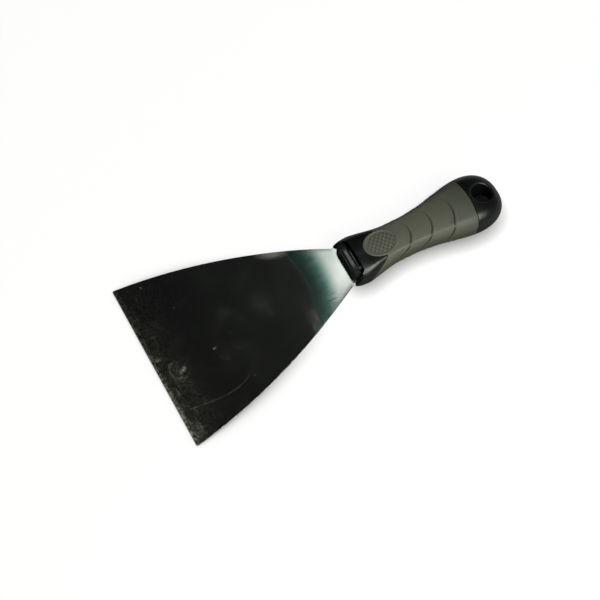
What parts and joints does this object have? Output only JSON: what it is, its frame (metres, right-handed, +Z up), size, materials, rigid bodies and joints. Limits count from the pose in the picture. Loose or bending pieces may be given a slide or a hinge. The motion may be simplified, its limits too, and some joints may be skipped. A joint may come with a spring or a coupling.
{
  "type": "filling knife",
  "caption": "Filling knife: a fanned, taper-ground steel blade moulded into a waisted soft-grip handle with thumb pads and a hang hole in the tail.",
  "frame": {"origin": "middle of the knife's length and width, on the bench that its edge and tail lie on", "axes": "+X along the knife from the scraping edge to the tail, +Y across the blade, +Z up from the bench"},
  "size_m": [0.209, 0.0998, 0.0204],
  "materials": {
    "spring_steel": "ground and polished spring steel, bright at the neck, lightly scratched",
    "black_block": "glossy black moulding",
    "black_body": "satin to glossy black moulding",
    "grey_grip": "soft matt olive-grey sleeve"
  },
  "bodies": {
    "root": {"blade": "spring_steel", "tang_block": "black_block", "handle_body": "black_body", "soft_grip": "grey_grip"}
  },
  "joints": []
}
